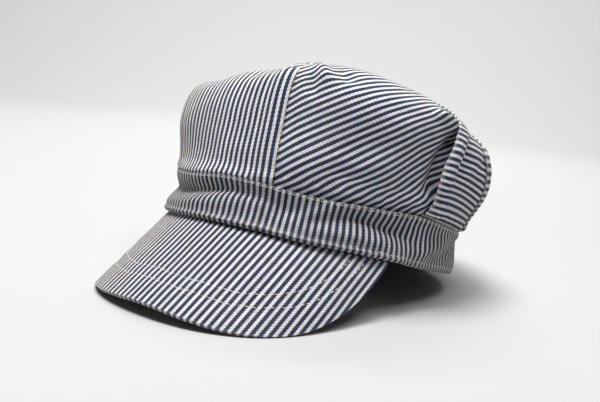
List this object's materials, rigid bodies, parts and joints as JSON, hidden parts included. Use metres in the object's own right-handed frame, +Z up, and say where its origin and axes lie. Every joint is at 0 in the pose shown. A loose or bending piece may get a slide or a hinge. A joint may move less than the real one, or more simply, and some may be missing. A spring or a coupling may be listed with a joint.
{
  "type": "railroad engineer cap",
  "caption": "Striped cotton work cap with a full soft crown of lapped panels, a folded cloth band and a curved drooping visor.",
  "frame": {"origin": "centre of the bounding box, on the surface that the cap rests on", "axes": "+Z up, the visor points to -Y, the wearer's left is +X"},
  "size_m": [0.196, 0.2648, 0.1339],
  "materials": {
    "crown_cloth": "matt cotton twill in narrow navy and cream stripes",
    "band_cloth": "matt cotton twill in narrow navy and cream stripes, doubled",
    "visor_cloth": "matt striped cotton twill over a thin stiffener, topstitched"
  },
  "bodies": {
    "root": {"visor": "visor_cloth", "band": "band_cloth", "crown_front_panel": "crown_cloth", "crown_side_panel_left": "crown_cloth", "crown_side_panel_right": "crown_cloth", "crown_rear_panel_left": "crown_cloth", "crown_rear_panel_right": "crown_cloth", "crown_back_panel_left": "crown_cloth", "crown_back_panel_right": "crown_cloth"}
  },
  "joints": []
}
